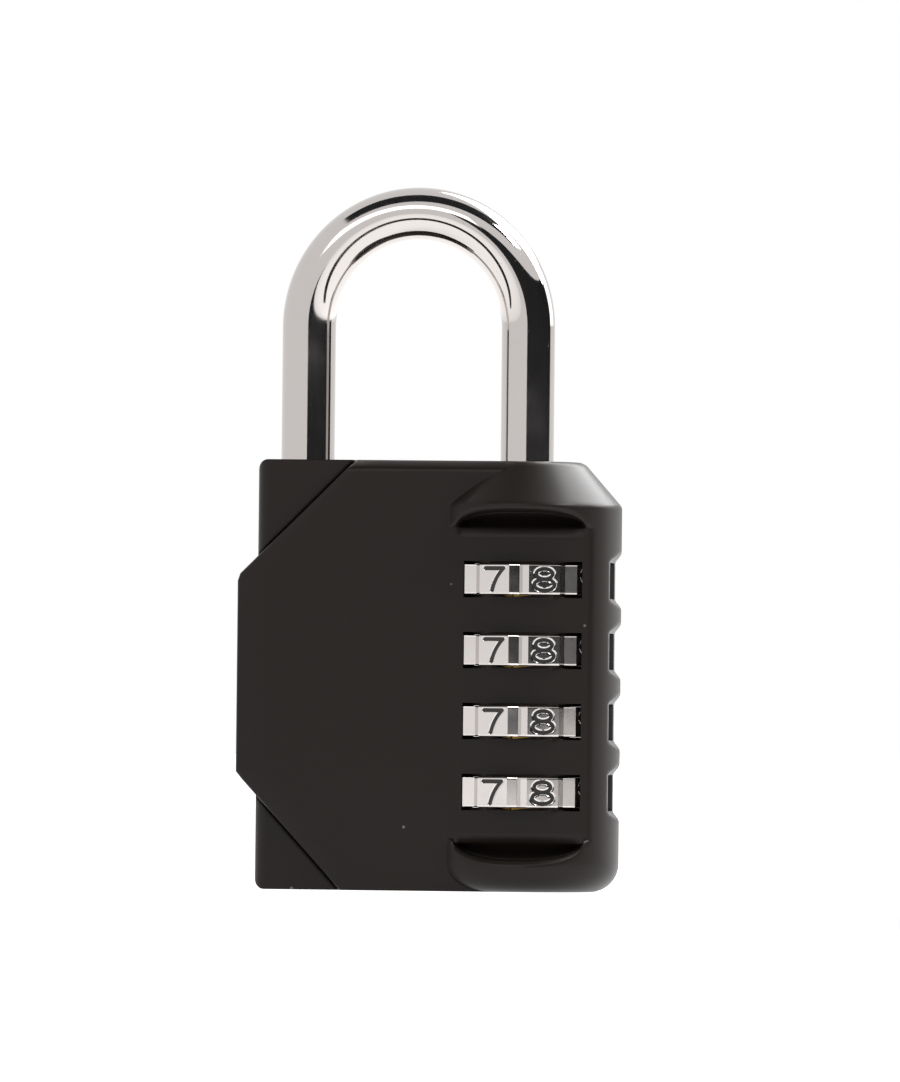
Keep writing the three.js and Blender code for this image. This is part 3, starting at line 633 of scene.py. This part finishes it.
def shackle_surface(settings):
    """The bent bar: up the long leg, over a half-ellipse and down the short leg.

    The radius drops to the lock groove on the long leg and closes over each chamfered end.
    """
    bend_z, rise, radius = 65.4, 13.2, settings.bar_radius
    heel_end, toe_end, chamfer = 14.0, 43.3, 0.6
    groove_low, groove_high, groove_radius = 38.55, 40.6, 1.9
    step, near, hair = 0.3, 0.15, 0.001
    up = np.unique(np.concatenate([
        [heel_end],
        np.linspace(heel_end + chamfer, groove_low - step, 12),
        [groove_low - near, groove_low, groove_low + hair],
        [groove_high - hair, groove_high, groove_high + near],
        np.linspace(groove_high + step, bend_z, 14),
    ]))
    turn = np.linspace(math.pi, 0, 120)[1:-1]
    down = np.append(np.linspace(bend_z, toe_end + chamfer, 14), toe_end)
    middle, half = (HEEL_X + DIAL_X) / 2, (DIAL_X - HEEL_X) / 2
    x = np.concatenate([np.full(len(up), HEEL_X), middle + half * np.cos(turn), np.full(len(down), DIAL_X)])
    z = np.concatenate([up, bend_z + rise * np.sin(turn), down])
    path = np.stack([x, np.zeros_like(x), z], axis=-1)
    tangent = np.gradient(path, axis=0)
    straight = z <= bend_z
    tangent[straight & (x < 0)] = (0, 0, 1)
    tangent[straight & (x > 0)] = (0, 0, -1)
    radii = np.full(len(x), radius)
    in_groove = (x < 0) & (z >= groove_low + hair / 2) & (z <= groove_high - hair / 2)
    radii[in_groove] = groove_radius
    radii[0] = radii[-1] = radius - chamfer
    tangent /= np.linalg.norm(tangent, axis=1, keepdims=True)
    return capped(path, swept(path, tangent, (0.0, 1.0, 0.0), radii, settings.sides))


def spring_surface():
    """A compression spring: a small round wire along a helix whose ends lie flat.

    The climb is half a straight line and half a smooth S, and starts and stops a tenth of the way in.
    """
    coil, wire, turns, wire_sides = 2.2, 0.4, 7, 10
    low, high, dead = 3.7, 13.3, 0.1
    t = np.linspace(0, 1, 360)
    climb = (t - dead) / (1 - 2 * dead)
    lift = (smoothstep(climb) + np.clip(climb, 0, 1)) / 2
    turn = t * turns * 2 * math.pi
    x, y = HEEL_X + coil * np.cos(turn), coil * np.sin(turn)
    path = np.stack([x, y, low + (high - low) * lift], axis=-1)
    tangent = np.gradient(path, axis=0)
    tangent /= np.linalg.norm(tangent, axis=1, keepdims=True)
    outward = np.stack([np.cos(turn), np.sin(turn), np.zeros_like(turn)], axis=-1)
    upward = np.cross(outward, tangent)
    side = np.arange(wire_sides) / wire_sides * 2 * math.pi
    ring = np.cos(side)[None, :, None] * outward[:, None] + np.sin(side)[None, :, None] * upward[:, None]
    points, quads = capped(path, path[:, None] + wire * ring)
    return points, quads[..., ::-1]


# --- Dials ------------------------------------------------------------------------------------

# Each digit's middle line, in millimetres from the middle of its face: arcs as centre, radii and two
# angles in degrees, lines as two ends, bends as two ends about a pull point.
DIGIT_STRETCH = np.array([1.14, 1.07])
DIGITS = {
    0: [("arc", 0, 0, 0.9, 1.2, 0, 360)],
    1: [("line", 0.15, -1.2, 0.15, 1.2), ("line", 0.15, 1.2, -0.45, 0.8)],
    2: [("arc", 0, 0.5, 0.85, 0.7, 170, -35), ("line", 0.7, 0.1, -0.9, -1.2),
        ("line", -0.9, -1.2, 0.95, -1.2)],
    3: [("arc", 0, 0.58, 0.78, 0.62, 155, -90), ("arc", 0, -0.6, 0.92, 0.6, 90, -155)],
    4: [("line", 0.4, -1.2, 0.4, 1.2), ("line", 0.4, 1.2, -1.0, -0.5),
        ("line", -1.0, -0.5, 1.0, -0.5)],
    5: [("line", 0.8, 1.2, -0.65, 1.2), ("line", -0.65, 1.2, -0.75, 0.1),
        ("arc", 0, -0.42, 0.92, 0.78, 140, -150)],
    6: [("arc", 0, -0.48, 0.9, 0.72, 0, 360), ("bend", 0.55, 1.2, -0.8, 0.6, -0.9, -0.48)],
    7: [("line", -1.0, 1.2, 1.0, 1.2), ("bend", 1.0, 1.2, 0.05, 0.2, -0.25, -1.2)],
    8: [("arc", 0, 0.6, 0.86, 0.56, 0, 360), ("arc", 0, -0.58, 1.06, 0.62, 0, 360)],
    9: [("arc", 0, 0.48, 0.9, 0.72, 0, 360), ("bend", -0.55, -1.2, 0.8, -0.6, 0.9, 0.48)],
}


def middle_line(part):
    """Points along one arc, line or bend, which is a curve of the second degree about its pull point."""
    t = np.linspace(0, 1, 28)
    if part[0] == "arc":
        x, y, radius_x, radius_y, first, last = part[1:]
        turn = np.radians(first + (last - first) * t)
        return np.stack([x + radius_x * np.cos(turn), y + radius_y * np.sin(turn)], axis=-1)
    start, end = np.array(part[1:3]), np.array(part[-2:])
    pull = (start + end) / 2 if part[0] == "line" else np.array(part[3:5])
    return ((1 - t) ** 2)[:, None] * start + (2 * t * (1 - t))[:, None] * pull + (t ** 2)[:, None] * end


def stroke_distance(places, digit):
    """Distance from each place to the digit's middle line."""
    nearest, tiny = np.full(places.shape[:-1], FAR), 1e-12
    for part in DIGITS[digit]:
        line = middle_line(part) * DIGIT_STRETCH
        start, along = line[:-1], line[1:] - line[:-1]
        offset = places[..., None, :] - start
        share = np.clip((offset * along).sum(-1) / np.maximum((along ** 2).sum(-1), tiny), 0, 1)
        gap = np.linalg.norm(offset - share[..., None] * along, axis=-1).min(axis=-1)
        nearest = np.minimum(nearest, gap)
    return nearest


def dial_surface(settings, z_middle):
    """One ring: a ten-faced outline with a vee between faces, pushed up through rounded edges.

    The radius on a face is the flat's distance over the cosine of the angle from its middle, less the
    digit's cut; in a vee it runs straight to the vee's floor. Also returns each point's distance to
    the middle line of its digit's stroke.
    """
    faces, face_width, floor, bore = 10, 3.69, 8.75, 5.65
    half, soft = 1.75, 0.18  # half the ring's height, and the radius of its edges
    stroke_half, stroke_bank = 0.27, 0.09
    flat = settings.flat_distance
    half_face = math.atan2(face_width / 2, flat)
    half_step = math.pi / faces
    on_face = np.linspace(-half_face, half_face, settings.columns)
    in_vee = np.linspace(half_face, 2 * half_step - half_face, 9)[1:-1]
    # A straight line between the vee's floor and the face's corner, in polar form about the vee.
    vee = np.abs(in_vee - half_step) / (half_step - half_face)
    corner = math.hypot(flat, face_width / 2)
    corner_out = corner * math.cos(half_step - half_face)
    run = floor + (corner_out - floor) * vee
    aside = corner * math.sin(half_step - half_face) * vee
    radius = np.concatenate([flat / np.cos(on_face), np.hypot(run, aside)])
    vee_angle = half_step + np.sign(in_vee - half_step) * np.arctan2(aside, run)
    angle = np.concatenate([on_face, vee_angle])
    bends = np.linspace(0, math.pi / 2, 5)
    between = np.linspace(soft - half, half - soft, settings.rows)[1:-1]
    level = np.concatenate([
        [-half], soft - half - soft * np.cos(bends), between, half - soft + soft * np.sin(bends), [half],
    ])
    inset = np.concatenate([
        [0], soft - soft * np.sin(bends), np.zeros_like(between), soft - soft * np.cos(bends), [0],
    ])
    turns = np.concatenate([angle + 2 * half_step * k for k in range(faces)])
    radii = np.tile(radius, faces)[None, :] - inset[:, None]
    radii[[0, -1]] = bore
    stroke = np.full(radii.shape, FAR)
    across = flat * np.tan(on_face)
    places = np.stack(np.broadcast_arrays(across[None, :], level[:, None]), axis=-1)
    for digit in range(faces):
        first = digit * len(angle)
        stroke[:, first:first + len(on_face)] = stroke_distance(places, digit)
    stroke[[0, -1]] = FAR
    radii -= settings.cut_depth * smoothstep((stroke_half - stroke) / stroke_bank)
    z = z_middle + np.repeat(level[:, None], radii.shape[1], axis=1)
    grid = np.stack([DIAL_X + radii * np.cos(turns), radii * np.sin(turns), z], axis=-1)
    # The last row comes back to the first, which closes the bore.
    grid = np.concatenate([grid, grid[:1]])
    stroke = np.concatenate([stroke, stroke[:1]])
    quads = tube_faces(grid.shape[0], grid.shape[1]).reshape(-1, 4)
    return grid.reshape(-1, 3), quads, stroke.reshape(-1)


# --- Settings ---------------------------------------------------------------------------------

class PadlockShellSettings(bpy.types.PropertyGroup):
    """Sizes and finish of the cast shell."""

    nose_radius: FloatProperty(
        name="Nose radius", description="Radius of the round edge, in millimetres", default=11.1)
    plate_depth: FloatProperty(
        name="Plate depth", description="Middle plane to the flat face, in millimetres", default=7.4)
    coat: FloatVectorProperty(
        name="Coat", description="Colour of the black coat", default=linear("16110f")[:3], subtype="COLOR")
    roughness: FloatProperty(
        name="Roughness", description="Roughness of the black coat", default=0.36, subtype="FACTOR")


class PadlockShackleSettings(bpy.types.PropertyGroup):
    """Sizes of the shackle."""

    bar_radius: FloatProperty(
        name="Bar radius", description="Radius of the bent bar, in millimetres", default=3.1)
    sides: IntProperty(
        name="Sides", description="Points round the bar", default=72)
    chrome: FloatVectorProperty(
        name="Chrome", description="Colour of the plated bar", default=linear("c4bfbc")[:3], subtype="COLOR")


class PadlockDialSettings(bpy.types.PropertyGroup):
    """Sizes of the dial rings."""

    flat_distance: FloatProperty(
        name="Flat distance", description="Axis to a digit's face, in millimetres", default=9.4)
    cut_depth: FloatProperty(
        name="Digit depth", description="Depth of the cut digits, in millimetres", default=0.08)
    columns: IntProperty(
        name="Columns", description="Points across one face", default=41)
    rows: IntProperty(
        name="Rows", description="Points up one face", default=40)
    chrome: FloatVectorProperty(
        name="Chrome", description="Colour of the dials", default=linear("cfcac7")[:3], subtype="COLOR")


class PadlockStageSettings(bpy.types.PropertyGroup):
    """Where the camera stands."""

    distance: FloatProperty(
        name="Distance", description="Camera to the padlock", default=1.25, unit="LENGTH")
    azimuth: FloatProperty(
        name="Azimuth", description="Camera's turn to the right", default=math.radians(5.2), subtype="ANGLE")
    elevation: FloatProperty(
        name="Elevation", description="Camera's height as an angle", default=math.radians(-1.0),
        subtype="ANGLE")
    roll: FloatProperty(
        name="Roll", description="Camera's lean", default=math.radians(0.6), subtype="ANGLE")
    span: FloatProperty(
        name="Span", description="Height that the picture covers", default=0.1258, unit="LENGTH")


def finish_of(key):
    """A shared finish, made the first time that it is asked for."""
    scene = bpy.context.scene
    makers = {
        "satin_black_shell": lambda: black_paint("satin_black_shell", scene.padlock_shell, 0.16),
        "satin_black_core": lambda: black_paint("satin_black_core", scene.padlock_shell, 0.5),
        "bright_chrome_plate": lambda: chrome_plate(scene.padlock_shackle),
        "chrome_dial_with_filled_digits": lambda: dial_chrome(scene.padlock_dial),
        "turned_brass": lambda: metal("turned_brass", "b98f45", "cfa85f", 0.26, 0.3),
        "zinc_plated_steel": lambda: metal("zinc_plated_steel", "8f8f8e", "a9a8a5", 0.3, 0.4),
        "blued_spring_steel": lambda: metal("blued_spring_steel", "6f6e6c", "8c8a86", 0.28, 0.2),
    }
    return bpy.data.materials.get(key) or makers[key]()


def dress(prefixes, key):
    """Gives every carried-over node whose name starts with one of the prefixes a finish."""
    for name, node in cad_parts.items():
        if name.startswith(prefixes):
            for slot in node.material_slots:
                slot.material = finish_of(key)


# --- Operators --------------------------------------------------------------------------------

class PADLOCK_OT_shells(bpy.types.Operator):
    """Build the two halves of the cast shell."""

    bl_idname = "padlock.shells"
    bl_label = "Shells"

    def execute(self, context):
        shape = ShellShape(context.scene.padlock_shell)
        points, quads = shell_half(shape)
        paint = finish_of("satin_black_shell")
        kept, faces = weld(points, quads)
        add_piece("front_shell_skin", kept, faces, paint, "body", "front_shell")
        mirrored = [face[::-1] for face in faces]
        add_piece("rear_shell_skin", kept * (1, -1, 1), mirrored, paint, "body", "rear_shell")
        return {"FINISHED"}


class PADLOCK_OT_core(bpy.types.Operator):
    """Finish the core block between the shells."""

    bl_idname = "padlock.core"
    bl_label = "Core block"

    def execute(self, context):
        dress(("core_block",), "satin_black_core")
        return {"FINISHED"}


class PADLOCK_OT_shackle(bpy.types.Operator):
    """Build the shackle."""

    bl_idname = "padlock.shackle"
    bl_label = "Shackle"

    def execute(self, context):
        points, quads = shackle_surface(context.scene.padlock_shackle)
        kept, faces = weld(points, quads)
        add_piece("shackle_bar", kept, faces, finish_of("bright_chrome_plate"), "shackle", "shackle",
                  crease=50.0)
        return {"FINISHED"}


class PADLOCK_OT_dials(bpy.types.Operator):
    """Build the four dial rings with their cut digits."""

    bl_idname = "padlock.dials"
    bl_label = "Dial rings"

    def execute(self, context):
        for k, z in enumerate(DIAL_Z, start=1):
            points, quads, stroke = dial_surface(context.scene.padlock_dial, z)
            piece = add_piece(f"dial_ring_{k}_skin", points, quads.tolist(),
                              finish_of("chrome_dial_with_filled_digits"), f"dial_{k}", f"dial_ring_{k}",
                              crease=28.0)
            layer = piece.data.attributes.new("stroke", "FLOAT", "POINT")
            layer.data.foreach_set("value", stroke.astype(np.float32))
        return {"FINISHED"}


class PADLOCK_OT_spring(bpy.types.Operator):
    """Build the spring under the long leg."""

    bl_idname = "padlock.spring"
    bl_label = "Shackle spring"

    def execute(self, context):
        points, quads = spring_surface()
        kept, faces = weld(points, quads)
        piece = add_piece("shackle_spring_coil", kept, faces, finish_of("blued_spring_steel"), None,
                          "shackle_spring")
        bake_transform(piece)
        return {"FINISHED"}


class PADLOCK_OT_works(bpy.types.Operator):
    """Finish the pins, sleeves, washers, spindle, yoke and detent."""

    bl_idname = "padlock.works"
    bl_label = "Works"

    def execute(self, context):
        dress(("code_sleeve", "dial_washer"), "turned_brass")
        dress(("lift_yoke", "code_spindle", "spindle_nut"), "zinc_plated_steel")
        dress(("assembly_pin", "detent_rivet"), "zinc_plated_steel")
        dress(("detent_spring",), "blued_spring_steel")
        return {"FINISHED"}


# Studio cards, in metres.
FLOOR_HALF = 6.0
FLAG_BLACK = "262628"
FLAG_REACH, FLAG_HEIGHT, FLAG_COUNT = 2.2, 1.05, 8
FLAG_FROM, FLAG_TO = -5.0, 111.0  # degrees to the right of the camera
TOP_FLAG = [(-1.0, -0.9, 1.3), (1.3, -0.9, 1.3), (1.3, -0.1, 1.3), (-1.0, 0.05, 1.3)]
TABLE_STRIP = [(-0.5, -0.23, 0.001), (0.3, -0.23, 0.001), (0.3, -0.15, 0.001), (-0.5, -0.15, 0.001)]

# Soft lights as name, place and size in metres, and power in watts.
SOFT_LIGHTS = (
    ("top_softbox", (0.85, 0.75, 1.15), (1.4, 1.2), 52),
    ("right_softbox", (1.4, 1.1, 0.6), (0.9, 0.9), 4),
    ("front_softbox", (-0.4, -1.5, 0.95), (1.4, 0.4), 4),
    ("rim_softbox", (0.95, -0.35, 1.2), (0.4, 0.4), 14),
)
LIGHT_TARGET = Vector((0.0, 0.0, 0.03))
CAMERA_AIM = Vector((2.0, 0.0, 40.6)) * MM


def flat_card(name, corners, code, seen=False, glow=0.0):
    """A plain studio card as one face of the stage, in metres."""
    mesh = bpy.data.meshes.new(name)
    mesh.from_pydata(corners, [], [tuple(range(len(corners)))])
    material, tree, _ = start_material(name + "_paper")
    shader = add_node(tree, "ShaderNodeBsdfPrincipled", Base_Color=linear(code), Roughness=0.9,
                      Specular_IOR_Level=0.0, Emission_Color=linear("ffffff"), Emission_Strength=glow)
    mesh.materials.append(end_material(material, tree, shader))
    card = bpy.data.objects.new(name, mesh)
    bpy.context.scene.collection.objects.link(card)
    card.visible_camera = seen


def soft_light(name, place, size, energy):
    """A rectangular area light that faces the padlock, in metres and watts."""
    light = bpy.data.lights.new(name, "AREA")
    light.shape, light.size, light.size_y, light.energy = "RECTANGLE", size[0], size[1], energy
    lamp = bpy.data.objects.new(name, light)
    lamp.location = place
    lamp.rotation_euler = (LIGHT_TARGET - Vector(place)).to_track_quat("-Z", "Y").to_euler()
    lamp.visible_camera = False
    bpy.context.scene.collection.objects.link(lamp)


class PADLOCK_OT_stage(bpy.types.Operator):
    """Set up the pale floor, the dark flags, the soft lights and the camera."""

    bl_idname = "padlock.stage"
    bl_label = "Stage"

    def execute(self, context):
        scene, settings = context.scene, context.scene.padlock_stage
        scene.view_settings.view_transform = "Standard"
        world = bpy.data.worlds.new("studio")
        world.use_nodes = True
        background = world.node_tree.nodes["Background"]
        background.inputs["Color"].default_value = linear("ffffff")
        background.inputs["Strength"].default_value = 1.0
        scene.world = world
        half = FLOOR_HALF
        floor = [(-half, -half, 0), (half, -half, 0), (half, half, 0), (-half, half, 0)]
        flat_card("floor", floor, "8a8a8a", seen=True, glow=1.0)
        # Dark flags stand in an arc to the camera's right, past the camera's own circle.
        turns = settings.azimuth + np.radians(np.linspace(FLAG_FROM, FLAG_TO, FLAG_COUNT + 1))
        feet = [(FLAG_REACH * math.sin(t), -FLAG_REACH * math.cos(t)) for t in turns]
        for k, (a, b) in enumerate(zip(feet[:-1], feet[1:]), start=1):
            flat_card(f"flag_{k}", [(*a, 0), (*b, 0), (*b, FLAG_HEIGHT), (*a, FLAG_HEIGHT)], FLAG_BLACK)
        # Another flag hangs overhead, above the lights.
        flat_card("top_flag", TOP_FLAG, FLAG_BLACK)
        # A narrow strip lies on the table in front of the padlock.
        flat_card("table_strip", TABLE_STRIP, "1c1c1d")
        for light in SOFT_LIGHTS:
            soft_light(*light)
        camera = bpy.data.cameras.new("camera")
        camera.sensor_width = 36.0
        camera.lens = camera.sensor_width * settings.distance / settings.span
        camera.clip_start = 0.05
        holder = bpy.data.objects.new("camera", camera)
        turn, cos = settings.azimuth, math.cos(settings.elevation)
        out = Vector((math.sin(turn) * cos, -math.cos(turn) * cos, math.sin(settings.elevation)))
        holder.location = CAMERA_AIM + out * settings.distance
        look = (-out).to_track_quat("-Z", "Y").to_matrix().to_4x4()
        lean = Euler((0, 0, settings.roll)).to_matrix().to_4x4()
        holder.rotation_euler = (look @ lean).to_euler()
        scene.collection.objects.link(holder)
        scene.camera = holder
        return {"FINISHED"}


BUILD = (
    PADLOCK_OT_shells,
    PADLOCK_OT_core,
    PADLOCK_OT_shackle,
    PADLOCK_OT_dials,
    PADLOCK_OT_spring,
    PADLOCK_OT_works,
    PADLOCK_OT_stage,
)


class PADLOCK_PT_panel(bpy.types.Panel):
    """The padlock's build steps."""

    bl_label = "Padlock"
    bl_idname = "PADLOCK_PT_panel"
    bl_space_type = "VIEW_3D"
    bl_region_type = "UI"
    bl_category = "Padlock"

    def draw(self, context):
        for step in BUILD:
            self.layout.operator(step.bl_idname)


SETTINGS = {
    "padlock_shell": PadlockShellSettings,
    "padlock_shackle": PadlockShackleSettings,
    "padlock_dial": PadlockDialSettings,
    "padlock_stage": PadlockStageSettings,
}
CLASSES = (*SETTINGS.values(), *BUILD, PADLOCK_PT_panel)


def register():
    for cls in CLASSES:
        bpy.utils.register_class(cls)
    for name, group in SETTINGS.items():
        setattr(bpy.types.Scene, name, PointerProperty(type=group))


def unregister():
    for name in SETTINGS:
        delattr(bpy.types.Scene, name)
    for cls in reversed(CLASSES):
        bpy.utils.unregister_class(cls)


def main():
    register()
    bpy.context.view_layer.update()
    for step in BUILD:
        getattr(bpy.ops.padlock, step.bl_idname.split(".")[1])()


if __name__ == "__main__":
    main()
